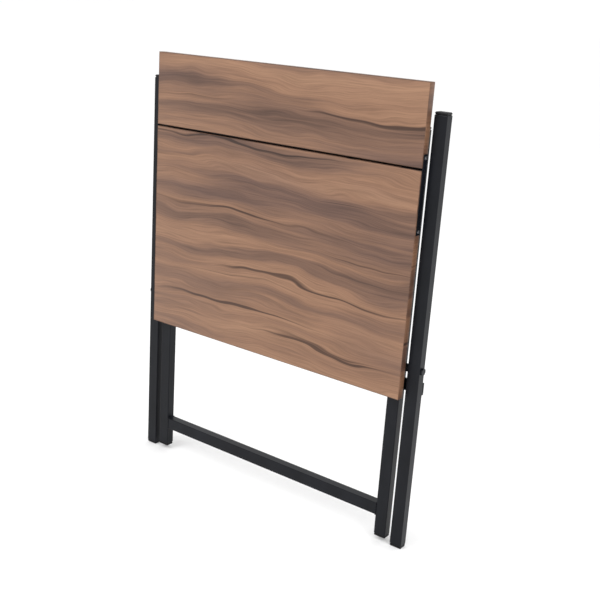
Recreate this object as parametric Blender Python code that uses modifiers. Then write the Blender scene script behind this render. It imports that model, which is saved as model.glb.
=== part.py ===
"""Folding table with a scissor frame, folded flat and standing.

Metres, +Z up.  X is the table's width, Y points from the tabletop's face to the frame behind it,
and the origin is on the floor under the middle of the object's box.  Lengths with no remark are
driving dimensions; everything that fits to them is worked out below.
"""
import math
import bpy
import bmesh
from mathutils import Matrix

# ---- driving dimensions -------------------------------------------------------------------
TOP_WIDTH = 0.660          # both boards, along X
BOARD = 0.016              # thickness of the laminated boards
MAIN_DEPTH = 0.4465        # main board, hanging height when folded
STRIP_DEPTH = 0.1525       # narrow board above it
BOARD_GAP = 0.004          # open joint between the two boards
TOP_EDGE_Z = 0.928         # upper edge of the folded tabletop
TUBE_W = 0.0265            # leg tube, along X
TUBE_D = 0.020             # leg tube, along Y
WALL = 0.0015              # wall of every steel tube
LEG_TOP_Z = 0.877          # upper end of the outer legs
PIVOT_Z = 0.385            # height of the scissor bolts
INNER_FOOT_Z = 0.008       # the inner legs end this far above the floor when folded
SIDE_CLEAR = 0.0035        # board edge to outer leg
LEG_SPACE = 0.0125         # outer leg to inner leg, filled by the spacer
STRETCHER_Z = 0.068        # middle of the low stretcher
CROSSBAR_H = 0.025         # flat bar behind the outer legs
CROSSBAR_T = 0.005
HINGE_Z = 0.862            # axis of the tabletop hinges
HINGE_DROP = 0.015         # hinge axis to the end of the inner legs
HINGE_X = 0.200            # middle of each hinge
HINGE_PIN_R = 0.0025
BOLT_R = 0.004             # scissor bolts
PLATE_LENGTH = 0.150       # joining plates on the board edges
PLATE_T = 0.0010
PLATE_MID_Z = 0.726
SCREW_INSET = 0.007        # plate end to screw
BACK_SCREW_R = 0.0018      # short screws into the boards' backs
BACKING_T = 0.0014         # steel strip that backs the joint between the boards
BACKING_H = 0.050
BACKING_INSET = 0.014      # strip end to board edge
BACKING_SCREWS = 3         # along each board
OPEN_HALF_ANGLE = 33.0     # each frame's lean when the table is open, degrees

# ---- clearances ---------------------------------------------------------------------------
TOUCH = 0.0003             # between pieces that touch
RUN = 0.0003               # radial, in a hole that turns on a bolt or pin
FRAME_BEHIND = 0.0025      # tabletop to the frame's front face
CAP_LIP = 0.005            # what shows of a tube's end plug

# ---- places that follow -------------------------------------------------------------------
HALF = TOP_WIDTH / 2
FRAME_Y0 = BOARD + FRAME_BEHIND
FRAME_Y = FRAME_Y0 + TUBE_D / 2
OUTER_X = HALF + SIDE_CLEAR + TUBE_W / 2
INNER_X = OUTER_X - TUBE_W - LEG_SPACE
INNER_TOP_Z = HINGE_Z - HINGE_DROP
STRIP_Z0 = TOP_EDGE_Z - STRIP_DEPTH
MAIN_Z1 = STRIP_Z0 - BOARD_GAP
MAIN_Z0 = MAIN_Z1 - MAIN_DEPTH
TOP_BAR_Z = INNER_TOP_Z - CAP_LIP - TUBE_W / 2
HINGE_LEAF_T = 0.0016
KNUCKLE_R = HINGE_PIN_R + 0.0024
HINGE_Y = BOARD + 2 * TOUCH + HINGE_LEAF_T + KNUCKLE_R
CENTRE_Y = (FRAME_Y0 + TUBE_D + CROSSBAR_T + TOUCH) / 2
SIDES = {"left": -1, "right": 1}

COLOURS = {
    "walnut": ((0.30, 0.18, 0.10, 1), 0.45, 0.0),
    "black_paint": ((0.018, 0.019, 0.024, 1), 0.38, 0.0),
    "black_plastic": ((0.012, 0.012, 0.013, 1), 0.5, 0.0),
    "steel": ((0.55, 0.55, 0.56, 1), 0.3, 1.0),
}


def clear_scene():
    for obj in list(bpy.data.objects):
        bpy.data.objects.remove(obj, do_unlink=True)


def collection(name):
    made = bpy.data.collections.new(name)
    bpy.context.scene.collection.children.link(made)
    return made


def material(slot, name):
    colour, roughness, metallic = COLOURS[slot]
    made = bpy.data.materials.new(name)
    made.use_nodes = True
    shader = made.node_tree.nodes["Principled BSDF"]
    shader.inputs["Base Color"].default_value = colour
    shader.inputs["Roughness"].default_value = roughness
    shader.inputs["Metallic"].default_value = metallic
    return made


def shape(name, build, middle, slot, group):
    """An object whose mesh is built by build(bmesh) around its own origin."""
    mesh = bpy.data.meshes.new(name)
    work = bmesh.new()
    build(work)
    bmesh.ops.recalc_face_normals(work, faces=work.faces)
    work.to_mesh(mesh)
    work.free()
    obj = bpy.data.objects.new(name, mesh)
    obj.location = (middle[0], middle[1] - CENTRE_Y, middle[2])
    if slot:
        mesh.materials.append(material(slot, name + "_finish"))
    group.objects.link(obj)
    return obj


def box(name, size, middle, slot, group, round_edges=0.0):
    def build(work):
        bmesh.ops.create_cube(work, size=1.0, matrix=Matrix.Diagonal((*size, 1.0)))
    obj = shape(name, build, middle, slot, group)
    if round_edges:
        bevel = obj.modifiers.new("rounded_edges", "BEVEL")
        bevel.width = round_edges
        bevel.segments = 2
    return obj


def rod(name, radius, length, middle, slot, group, axis="X", sides=24):
    turn = {"X": Matrix.Rotation(math.pi / 2, 4, "Y"), "Y": Matrix.Rotation(math.pi / 2, 4, "X"),
            "Z": Matrix.Identity(4)}[axis]

    def build(work):
        bmesh.ops.create_cone(work, cap_ends=True, segments=sides, radius1=radius,
                              radius2=radius, depth=length, matrix=turn)
    obj = shape(name, build, middle, slot, group)
    obj.data.shade_smooth()
    obj.data.set_sharp_from_angle(angle=0.7)
    return obj


def cut(obj, cutter):
    step = obj.modifiers.new("cut_" + cutter.name, "BOOLEAN")
    step.operation = "DIFFERENCE"
    step.solver = "EXACT"
    step.object = cutter


def join(obj, added):
    step = obj.modifiers.new("join_" + added.name, "BOOLEAN")
    step.operation = "UNION"
    step.solver = "EXACT"
    step.object = added


def cutter_box(name, size, middle):
    obj = box(name, size, middle, None, cutters)
    obj.hide_render = True
    obj.display_type = "WIRE"
    return obj


def cutter_rod(name, radius, length, middle, axis="X"):
    obj = rod(name, radius, length, middle, None, cutters, axis)
    obj.hide_render = True
    obj.display_type = "WIRE"
    return obj


def tube(name, size, middle, along):
    """A rectangular steel tube, open at both ends, its hollow running along one axis."""
    obj = box(name, size, middle, "black_paint", parts, round_edges=0.0013)
    hollow = [side - 2 * WALL for side in size]
    hollow["XYZ".index(along)] = size["XYZ".index(along)] + 0.01
    cut(obj, cutter_box(name + "_hollow", hollow, middle))
    return obj


def plug(name, x, z_end, up):
    """A plastic end plug: a lip over the tube's end and a stem inside it."""
    lip = box(name, (TUBE_W, TUBE_D, CAP_LIP), (x, FRAME_Y, z_end - up * CAP_LIP / 2),
              "black_plastic", parts, round_edges=0.0024)
    stem_length = 0.012
    stem = cutter_box(name + "_stem", (TUBE_W - 2 * (WALL + TOUCH), TUBE_D - 2 * (WALL + TOUCH),
                                       stem_length), (x, FRAME_Y, z_end - up * (CAP_LIP + stem_length / 2
                                                                               - 0.001)))
    join(lip, stem)


def leg(name, x, z_low, z_high):
    low = z_low + CAP_LIP + TOUCH
    high = z_high - CAP_LIP - TOUCH
    made = tube(name, (TUBE_W, TUBE_D, high - low), (x, FRAME_Y, (low + high) / 2), "Z")
    cut(made, cutter_rod(name + "_bolt_hole", BOLT_R + RUN, TUBE_W + 0.01, (x, FRAME_Y, PIVOT_Z)))
    plug(name + "_foot", x, z_low, -1)
    plug(name + "_cap", x, z_high, 1)


def scissor_bolt(side_name, side):
    """Bolt with a domed head outside, a spacer between the legs and a lock nut inside."""
    head_t, nut_t = 0.0035, 0.006
    outside = OUTER_X + TUBE_W / 2 + TOUCH
    inside = INNER_X - TUBE_W / 2 - TOUCH
    end = inside - nut_t - 0.002
    bolt = rod("pivot_bolt_" + side_name, BOLT_R, outside - end + 0.001,
               (side * (outside + end + 0.001) / 2, FRAME_Y, PIVOT_Z), "black_paint", parts)
    head = cutter_rod("head_" + side_name, 0.007, head_t, (side * (outside + head_t / 2), FRAME_Y, PIVOT_Z))
    join(bolt, head)
    room = LEG_SPACE - 2 * TOUCH
    spacer = rod("pivot_spacer_" + side_name, 0.008, room,
                 (side * (INNER_X + TUBE_W / 2 + LEG_SPACE / 2), FRAME_Y, PIVOT_Z), "black_plastic", parts)
    cut(spacer, cutter_rod("spacer_hole_" + side_name, BOLT_R + RUN, 0.05,
                           (side * (INNER_X + TUBE_W / 2), FRAME_Y, PIVOT_Z)))
    nut = rod("pivot_nut_" + side_name, 0.0072, nut_t, (side * (inside - nut_t / 2), FRAME_Y, PIVOT_Z),
              "steel", parts, sides=6)
    cut(nut, cutter_rod("nut_hole_" + side_name, BOLT_R + RUN, 0.05, (side * inside, FRAME_Y, PIVOT_Z)))


def side_plate(side_name, side):
    face = HALF + TOUCH
    plate = box("joining_plate_" + side_name, (PLATE_T, BOARD - 0.002, PLATE_LENGTH),
                (side * (face + PLATE_T / 2), BOARD / 2, PLATE_MID_Z), "black_paint", parts, 0.0004)
    for place, sign in (("lower", -1), ("upper", 1)):
        z = PLATE_MID_Z + sign * (PLATE_LENGTH / 2 - SCREW_INSET)
        cut(plate, cutter_rod(f"plate_hole_{place}_{side_name}", 0.0022 + RUN, 0.01,
                              (side * face, BOARD / 2, z)))
        board = boards["strip_board" if sign > 0 else "main_board"]
        cut(board, cutter_rod(f"pilot_{place}_{side_name}", 0.0022 + RUN, 0.048,
                              (side * HALF, BOARD / 2, z)))
        screw = rod(f"plate_screw_{place}_{side_name}", 0.0022, 0.021,
                    (side * (HALF - 0.0085 + PLATE_T), BOARD / 2, z), "steel", parts, sides=16)
        join(screw, cutter_rod(f"plate_screw_head_{place}_{side_name}", 0.0036, 0.0010,
                               (side * (face + PLATE_T + TOUCH + 0.0005), BOARD / 2, z)))


def hinge(side_name, side):
    """Leaf and two knuckles on the strip board's back, one lug on the inner frame's top bar, a pin."""
    x = side * HINGE_X
    leaf_y = BOARD + TOUCH
    leaf_t = HINGE_LEAF_T
    axis = HINGE_Y
    leaf = box("hinge_leaf_" + side_name, (0.050, leaf_t, 0.040), (x, leaf_y + leaf_t / 2, HINGE_Z + 0.012),
               "steel", parts)
    for place, offset in (("a", -0.017), ("b", 0.017)):
        root = cutter_box(f"knuckle_root_{place}_{side_name}", (0.0118, axis - leaf_y - 0.0002, 0.006),
                          (x + offset, (axis + leaf_y) / 2, HINGE_Z))
        join(leaf, root)
        join(leaf, cutter_rod(f"knuckle_{place}_{side_name}", KNUCKLE_R, 0.012, (x + offset, axis, HINGE_Z)))
    cut(leaf, cutter_rod("leaf_bore_" + side_name, HINGE_PIN_R + RUN, 0.08, (x, axis, HINGE_Z)))
    lug_top = HINGE_Z
    bar_top = TOP_BAR_Z + TUBE_W / 2
    lug = box("frame_lug_" + side_name, (0.018, 0.008, lug_top - bar_top - TOUCH),
              (x, axis, (lug_top + bar_top + TOUCH) / 2), "black_paint", parts)
    join(lug, cutter_rod("lug_eye_" + side_name, KNUCKLE_R, 0.018, (x, axis, HINGE_Z)))
    cut(lug, cutter_rod("lug_bore_" + side_name, HINGE_PIN_R + RUN, 0.03, (x, axis, HINGE_Z)))
    rod("hinge_pin_" + side_name, HINGE_PIN_R, 0.052, (x, axis, HINGE_Z), "steel", parts, sides=16)
    for place, offset in (("a", -0.016), ("b", 0.016)):
        back_screw(f"hinge_screw_{place}_{side_name}", boards["strip_board"], leaf, x + offset,
                   HINGE_Z + 0.024, leaf_t)


def back_screw(name, board, plate, x, z, plate_t):
    """A short screw through a plate on a board's back, with its pilot hole in both."""
    plate_y = BOARD + TOUCH
    head_t, depth = 0.0014, 0.0095
    cut(plate, cutter_rod(name + "_plate_hole", BACK_SCREW_R + RUN, 0.008, (x, plate_y, z), "Y"))
    cut(board, cutter_rod(name + "_pilot", BACK_SCREW_R + RUN, 2 * (depth + TOUCH), (x, BOARD, z), "Y"))
    low, high = BOARD - depth, plate_y + plate_t + TOUCH + head_t / 2
    screw = rod(name, BACK_SCREW_R, high - low, (x, (low + high) / 2, z), "steel", parts, "Y", sides=12)
    join(screw, cutter_rod(name + "_head", 0.0034, head_t, (x, high, z), "Y"))


def joint_backing():
    """A flat strip behind the open joint, screwed to both boards."""
    z = STRIP_Z0 - BOARD_GAP / 2
    strip = box("joint_backing", (TOP_WIDTH - 2 * BACKING_INSET, BACKING_T, BACKING_H),
                (0, BOARD + TOUCH + BACKING_T / 2, z), "black_paint", parts)
    pitch = 2 * (INNER_X - TUBE_W) / BACKING_SCREWS
    for row, board, rise in (("lower", "main_board", -1), ("upper", "strip_board", 1)):
        for i in range(BACKING_SCREWS):
            back_screw(f"backing_screw_{row}_{i + 1}", boards[board], strip,
                       (i - (BACKING_SCREWS - 1) / 2) * pitch, z + rise * BACKING_H / 4, BACKING_T)


clear_scene()
parts = collection("folding_table")
cutters = collection("cutters")
boards = {
    "strip_board": box("strip_board", (TOP_WIDTH, BOARD, STRIP_DEPTH),
                       (0, BOARD / 2, STRIP_Z0 + STRIP_DEPTH / 2), "walnut", parts, 0.0008),
    "main_board": box("main_board", (TOP_WIDTH, BOARD, MAIN_DEPTH),
                      (0, BOARD / 2, MAIN_Z0 + MAIN_DEPTH / 2), "walnut", parts, 0.0008),
}
for side_word, sign in SIDES.items():
    leg("outer_leg_" + side_word, sign * OUTER_X, 0.0, LEG_TOP_Z)
    leg("inner_leg_" + side_word, sign * INNER_X, INNER_FOOT_Z, INNER_TOP_Z)
    scissor_bolt(side_word, sign)
    side_plate(side_word, sign)
    hinge(side_word, sign)
bar_length = 2 * (INNER_X - TUBE_W / 2 - TOUCH)
tube("low_stretcher", (bar_length, TUBE_D, TUBE_W), (0, FRAME_Y, STRETCHER_Z), "X")
tube("inner_top_bar", (bar_length, TUBE_D, TUBE_W), (0, FRAME_Y, TOP_BAR_Z), "X")
box("outer_crossbar", (2 * OUTER_X + TUBE_W, CROSSBAR_T, CROSSBAR_H),
    (0, FRAME_Y0 + TUBE_D + TOUCH + CROSSBAR_T / 2, PIVOT_Z - 0.04), "black_paint", parts, 0.0008)
joint_backing()
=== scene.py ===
# %% [markdown]
# # A folding table, folded flat
# The table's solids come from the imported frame. This lesson dresses them: laminate boards with
# edge bands, powder-coated tubes with weld beads, moulded plugs and bright screws.

# %% Load the frame
import math
import bpy
import bmesh
from mathutils import Matrix, Vector


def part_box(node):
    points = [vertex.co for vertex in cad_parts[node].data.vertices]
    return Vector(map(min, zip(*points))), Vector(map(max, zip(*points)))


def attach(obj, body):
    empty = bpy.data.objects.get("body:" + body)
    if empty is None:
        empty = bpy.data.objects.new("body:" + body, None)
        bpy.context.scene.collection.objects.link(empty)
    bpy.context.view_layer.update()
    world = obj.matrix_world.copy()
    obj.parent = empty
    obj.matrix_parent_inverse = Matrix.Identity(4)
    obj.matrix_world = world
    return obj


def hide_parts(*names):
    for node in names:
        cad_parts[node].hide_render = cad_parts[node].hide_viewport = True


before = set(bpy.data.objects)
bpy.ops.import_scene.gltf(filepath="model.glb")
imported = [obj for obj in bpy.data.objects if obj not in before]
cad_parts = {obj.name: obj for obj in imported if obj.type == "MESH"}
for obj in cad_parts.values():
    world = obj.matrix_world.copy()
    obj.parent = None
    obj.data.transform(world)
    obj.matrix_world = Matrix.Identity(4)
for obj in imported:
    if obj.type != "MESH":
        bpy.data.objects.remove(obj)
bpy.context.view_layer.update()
NEW_PIECES = bpy.context.scene.collection

# %% [markdown]
# Every finish below is a small graph of nodes. One helper starts a material and hands back its
# shader, and another adds a node and sets its options. The rest are the few moves that a printed
# grain or a painted skin needs: stretched noise, a ramp of colours, a mix and a bump. Written once,
# they let each finish below read as a short recipe.

# %% Helpers for finishes
def new_finish(name, roughness, metallic=0.0):
    finish = bpy.data.materials.new(name)
    finish.use_nodes = True
    shader = finish.node_tree.nodes["Principled BSDF"]
    shader.inputs["Roughness"].default_value = roughness
    shader.inputs["Metallic"].default_value = metallic
    return finish, finish.node_tree, shader


def add_node(tree, kind, **values):
    node = tree.nodes.new(kind)
    for key, value in values.items():
        setattr(node, key, value)
    return node


def grain_noise(tree, place, stretch, detail=4.0, roughness=0.55, distortion=0.0):
    """Noise whose grain length and width are set by three frequencies, in cycles a metre."""
    mapping = add_node(tree, "ShaderNodeMapping")
    mapping.inputs["Scale"].default_value = stretch
    noise = add_node(tree, "ShaderNodeTexNoise")
    noise.inputs["Scale"].default_value = 1.0
    noise.inputs["Detail"].default_value = detail
    noise.inputs["Roughness"].default_value = roughness
    noise.inputs["Distortion"].default_value = distortion
    tree.links.new(place, mapping.inputs["Vector"])
    tree.links.new(mapping.outputs["Vector"], noise.inputs["Vector"])
    return noise.outputs["Fac"]


def ramp(tree, value, stops):
    node = add_node(tree, "ShaderNodeValToRGB")
    while len(node.color_ramp.elements) < len(stops):
        node.color_ramp.elements.new(0.5)
    for element, (position, colour) in zip(node.color_ramp.elements, stops):
        element.position = position
        element.color = (*colour, 1.0)
    tree.links.new(value, node.inputs["Fac"])
    return node.outputs["Color"]


def stain(tree, strength, colour, over):
    """Multiplies a colour by another, which is a socket or a plain tint."""
    node = add_node(tree, "ShaderNodeMix", data_type="RGBA", blend_type="MULTIPLY")
    node.inputs["Factor"].default_value = strength
    first, second, result = node.inputs[6], node.inputs[7], node.outputs[2]
    tree.links.new(colour, first)
    if isinstance(over, tuple):
        second.default_value = (*over, 1.0)
    else:
        tree.links.new(over, second)
    return result


def bump(tree, shader, height, depth, strength):
    node = add_node(tree, "ShaderNodeBump")
    node.inputs["Distance"].default_value = depth
    node.inputs["Strength"].default_value = strength
    tree.links.new(height, node.inputs["Height"])
    tree.links.new(node.outputs["Normal"], shader.inputs["Normal"])


print("finish helpers ready")

# %% [markdown]
# ## Walnut laminate
# The boards are chipboard under a printed walnut sheet. Its figure runs along the width: broad
# wavy bands, a few thin dark veins that follow them, ashen patches and fine fibre. A scanned sheet
# would repeat, and a wave texture is too even, so each layer is noise that is stretched along the
# board. All of them read one warped place, so that veins and bands bend together, as growth rings do.

# %% Walnut finish
WAVE = 0.10              # how far the grain strays across the board, metres
PORE_DEPTH = 0.00006


def walnut(name, shift, tone=(1.0, 1.0, 1.0)):
    """Laminate cut from one sheet; shift picks the part of the sheet, tone darkens an edge band."""
    finish, tree, shader = new_finish(name, 0.42)
    shader.inputs["Specular IOR Level"].default_value = 0.35
    coords = add_node(tree, "ShaderNodeTexCoord")
    start = add_node(tree, "ShaderNodeVectorMath", operation="ADD")
    start.inputs[1].default_value = shift
    tree.links.new(coords.outputs["Object"], start.inputs[0])
    bend = grain_noise(tree, start.outputs[0], (2.2, 1.0, 7.0), detail=3.0, roughness=0.55)
    centred = add_node(tree, "ShaderNodeMath", operation="MULTIPLY_ADD")
    centred.inputs[1].default_value = WAVE
    centred.inputs[2].default_value = -WAVE / 2
    tree.links.new(bend, centred.inputs[0])
    lift = add_node(tree, "ShaderNodeCombineXYZ")
    tree.links.new(centred.outputs[0], lift.inputs["Z"])
    warped = add_node(tree, "ShaderNodeVectorMath", operation="ADD")
    tree.links.new(start.outputs[0], warped.inputs[0])
    tree.links.new(lift.outputs[0], warped.inputs[1])
    place = warped.outputs[0]
    bands = ramp(tree, grain_noise(tree, place, (0.8, 1.0, 20.0), 4.0, 0.6), (
        (0.30, (0.085, 0.045, 0.031)), (0.42, (0.165, 0.089, 0.058)),
        (0.52, (0.240, 0.128, 0.076)), (0.70, (0.320, 0.178, 0.104))))
    veins = ramp(tree, grain_noise(tree, place, (1.3, 1.0, 70.0), 2.0, 0.4), (
        (0.31, (0.16, 0.12, 0.11)), (0.365, (1.0, 1.0, 1.0))))
    ashen = ramp(tree, grain_noise(tree, place, (1.4, 1.0, 11.0), 2.0, 0.5), (
        (0.50, (1.0, 1.0, 1.0)), (0.66, (0.66, 0.68, 0.80))))
    fibre = ramp(tree, grain_noise(tree, place, (7.0, 4.0, 420.0), 4.0, 0.7), (
        (0.32, (0.66, 0.64, 0.63)), (0.60, (1.10, 1.10, 1.10))))
    colour = stain(tree, 0.85, bands, veins)
    colour = stain(tree, 0.8, colour, ashen)
    colour = stain(tree, 0.85, colour, fibre)
    colour = stain(tree, 1.0, colour, tone)
    tree.links.new(colour, shader.inputs["Base Color"])
    pores = grain_noise(tree, place, (9.0, 4.0, 620.0), 3.0, 0.65)
    bump(tree, shader, pores, PORE_DEPTH, 0.5)
    return finish


walnut_main = walnut("walnut_main", (0.31, 0.0, 0.12))
walnut_strip = walnut("walnut_strip", (1.74, 0.0, 0.63))
walnut_edge = walnut("walnut_edge", (0.6, 0.2, 0.4), (0.62, 0.58, 0.56))
print("three walnut finishes made")

# %% [markdown]
# ## Powder coat, plastic and zinc
# Powder coat melts into a skin with a fine orange peel. Moulded plastic has a faint spark texture,
# and zinc plate is bright with a soft mottle. All three are a soft cloud of two close tones over a
# very fine bump, so one recipe makes them with different numbers.

# %% Metal and plastic finishes
def speckled(name, dark, light, roughness, metallic, grain, depth, shine=0.5):
    finish, tree, shader = new_finish(name, roughness, metallic)
    shader.inputs["Specular IOR Level"].default_value = shine
    coords = add_node(tree, "ShaderNodeTexCoord")
    place = coords.outputs["Object"]
    cloud = grain_noise(tree, place, (14.0, 14.0, 9.0), 4.0, 0.6)
    tree.links.new(ramp(tree, cloud, ((0.32, dark), (0.72, light))), shader.inputs["Base Color"])
    bump(tree, shader, grain_noise(tree, place, (grain, grain, grain), 3.0, 0.6), depth, 0.6)
    return finish


powder_coat = speckled("powder_coat", (0.0022, 0.0028, 0.0045), (0.0065, 0.0075, 0.011),
                       roughness=0.36, metallic=0.0, grain=900.0, depth=0.00008, shine=0.18)
plug_plastic = speckled("plug_plastic", (0.004, 0.004, 0.005), (0.009, 0.009, 0.010),
                        roughness=0.5, metallic=0.0, grain=1600.0, depth=0.00005, shine=0.2)
zinc = speckled("zinc", (0.42, 0.42, 0.43), (0.66, 0.66, 0.67),
                roughness=0.28, metallic=1.0, grain=700.0, depth=0.00003)
print("powder coat, plug plastic and zinc made")

# %% [markdown]
# The tubes, plugs, screws and hinges already have their true shape in the frame, so they stay, and
# each takes its finish by what it is made of. The next step hides the two plain boards behind finer
# ones, so the finish that they get here doesn't show.

# %% Finishes on the frame's solids
for node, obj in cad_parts.items():
    if node.endswith(("_foot", "_cap")) or node.startswith("pivot_spacer"):
        finish = plug_plastic
    elif node.startswith(("hinge", "plate_screw", "backing_screw", "pivot_nut")):
        finish = zinc
    else:
        finish = powder_coat
    obj.data.materials.clear()
    obj.data.materials.append(finish)
print("finishes on", len(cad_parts), "solids")

# %% [markdown]
# ## Boards with edge bands
# A laminate board is a sheet-faced core with a thin band glued along each edge. The band shows as
# a fine line where it meets the face. A line drawn in the colour would vanish close up, so core and
# bands are separate meshes with eased corners, and the seam between them is a real one.

# %% Board builder
BAND = 0.0010            # thickness of an edge band
SEAM = 0.00008
CORE_EASE = 0.00025      # rounding of the sheet's cut edges
BAND_EASE = 0.0003       # rounding of a scraped band


def slab(name, low, high, ease, finish):
    """A laminate piece between two corners, riding on the tabletop."""
    size = [b - a for a, b in zip(low, high)]
    work = bmesh.new()
    bmesh.ops.create_cube(work, size=1.0, matrix=Matrix.Diagonal((*size, 1.0)))
    bmesh.ops.translate(work, verts=work.verts, vec=[(a + b) / 2 for a, b in zip(low, high)])
    bmesh.ops.bevel(work, geom=work.edges[:], offset=ease, segments=3, profile=0.5, affect="EDGES")
    mesh = bpy.data.meshes.new(name)
    work.to_mesh(mesh)
    work.free()
    mesh.shade_smooth()
    mesh.set_sharp_from_angle(angle=math.radians(50))
    mesh.materials.append(finish)
    piece = bpy.data.objects.new(name, mesh)
    NEW_PIECES.objects.link(piece)
    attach(piece, "tabletop")
    return piece


def banded_board(node, face_finish):
    low, high = (list(corner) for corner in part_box(node))
    inner_low = [low[0] + BAND + SEAM, low[1], low[2] + BAND + SEAM]
    inner_high = [high[0] - BAND - SEAM, high[1], high[2] - BAND - SEAM]
    core = slab(node + "_core", inner_low, inner_high, CORE_EASE, face_finish)
    band_corners = {
        "low": (low, [high[0], high[1], low[2] + BAND]),
        "high": ([low[0], low[1], high[2] - BAND], high),
        "left": ([low[0], low[1], inner_low[2]], [low[0] + BAND, high[1], inner_high[2]]),
        "right": ([high[0] - BAND, low[1], inner_low[2]], [high[0], high[1], inner_high[2]]),
    }
    for side, (start, end) in band_corners.items():
        slab(f"{node}_band_{side}", start, end, BAND_EASE, walnut_edge)
    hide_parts(node)
    print(node, "built with four bands")


banded_board("main_board", walnut_main)
banded_board("strip_board", walnut_strip)

# %% [markdown]
# ## Weld beads
# The cross tubes are welded between the legs. A bead is a lumpy ring of melted steel around each
# joint: a closed curve with a round section whose radius rises and falls from drop to drop. A curve
# follows the tube's four edges in a few lines, where a modelled fillet would need a mesh of its own.

# %% Weld beads
BEAD_RADIUS = 0.0011
BEAD_INSET = 0.0006      # from the tube's end to the middle of the bead
DROPS = 14               # along each side of the tube
RIPPLE = 0.28            # share by which a drop swells or thins


def weld_bead(name, node, side):
    """A ring of weld around one end of a cross tube; side is -1 for its left end, 1 for its right."""
    low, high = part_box(node)
    x = high[0] - BEAD_INSET if side > 0 else low[0] + BEAD_INSET
    corners = [(low[1], low[2]), (high[1], low[2]), (high[1], high[2]), (low[1], high[2])]
    points = []
    for (y0, z0), (y1, z1) in zip(corners, corners[1:] + corners[:1]):
        points += [(x, y0 + (y1 - y0) * i / DROPS, z0 + (z1 - z0) * i / DROPS) for i in range(DROPS)]
    curve = bpy.data.curves.new(name, "CURVE")
    curve.dimensions = "3D"
    curve.bevel_depth = BEAD_RADIUS
    curve.bevel_resolution = 3
    spline = curve.splines.new("POLY")
    spline.points.add(len(points) - 1)
    spline.use_cyclic_u = True
    for i, (point, place) in enumerate(zip(spline.points, points)):
        point.co = (*place, 1.0)
        point.radius = 1.0 + RIPPLE * math.sin(i * 2.1)
    curve.materials.append(powder_coat)
    bead = bpy.data.objects.new(name, curve)
    NEW_PIECES.objects.link(bead)
    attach(bead, "inner_frame")


for node in ("low_stretcher", "inner_top_bar"):
    for word, side in (("left", -1), ("right", 1)):
        weld_bead(f"weld_{node}_{word}", node, side)
print("four weld beads laid")

# %% [markdown]
# ## Floor and light
# A pale floor that runs into a pale world, and two broad soft lights. The floor is made very wide,
# so that its far edge is no line behind the table. A small lamp would throw a hard shadow and a
# hot spot on the paint, so each light is a large square.

# %% Floor and light
floor_mesh = bpy.data.meshes.new("floor")
work = bmesh.new()
bmesh.ops.create_grid(work, x_segments=1, y_segments=1, size=150.0)
work.to_mesh(floor_mesh)
work.free()
floor = bpy.data.objects.new("floor", floor_mesh)
NEW_PIECES.objects.link(floor)
floor_finish, _, floor_shader = new_finish("floor_white", 0.9)
floor_shader.inputs["Base Color"].default_value = (0.97, 0.97, 0.97, 1.0)
floor_mesh.materials.append(floor_finish)

world = bpy.data.worlds.new("studio")
bpy.context.scene.world = world
world.use_nodes = True
sky = world.node_tree.nodes["Background"]
sky.inputs["Color"].default_value = (1.0, 1.0, 1.0, 1.0)
sky.inputs["Strength"].default_value = 1.05


def soft_light(name, place, size, watts):
    """A square lamp that faces the middle of the table."""
    lamp = bpy.data.lights.new(name, "AREA")
    lamp.shape = "SQUARE"
    lamp.size = size
    lamp.energy = watts
    holder = bpy.data.objects.new(name, lamp)
    holder.location = place
    holder.rotation_euler = (TABLE_MIDDLE - Vector(place)).to_track_quat("-Z", "Y").to_euler()
    NEW_PIECES.objects.link(holder)


TABLE_MIDDLE = Vector((0, 0, 0.5))
soft_light("key", (-1.4, -2.6, 2.6), 1.6, 38.0)
soft_light("side", (2.4, -0.6, 1.6), 1.4, 22.0)
print("floor, sky and two lights set")

# %% [markdown]
# ## Camera
# The camera stands a little above the table and to its right, and looks along a direction given by
# two angles. A third angle rolls it slightly, as a camera held by hand is. Aiming it at a point
# would be shorter, but would leave no room for the roll.

# %% Camera
SENSOR, LENS = 36.0, 57.25          # millimetres
CAMERA_PLACE = (1.158, -1.531, 1.040)
AZIMUTH, ELEVATION, ROLL = (math.radians(angle) for angle in (35.5, 17.1, 3.9))
forward = Vector((-math.sin(AZIMUTH) * math.cos(ELEVATION), math.cos(AZIMUTH) * math.cos(ELEVATION),
                  -math.sin(ELEVATION)))
level_right = forward.cross(Vector((0, 0, 1))).normalized()
level_up = level_right.cross(forward)
right = level_right * math.cos(ROLL) + level_up * math.sin(ROLL)
up = right.cross(forward)
turn = Matrix((right, up, -forward)).transposed().to_4x4()
camera_data = bpy.data.cameras.new("camera")
camera_data.sensor_width = SENSOR
camera_data.lens = LENS
camera = bpy.data.objects.new("camera", camera_data)
camera.matrix_world = Matrix.Translation(CAMERA_PLACE) @ turn
NEW_PIECES.objects.link(camera)
bpy.context.scene.camera = camera
bpy.context.scene.view_settings.view_transform = "Standard"
print("camera", [round(v, 3) for v in camera.location])
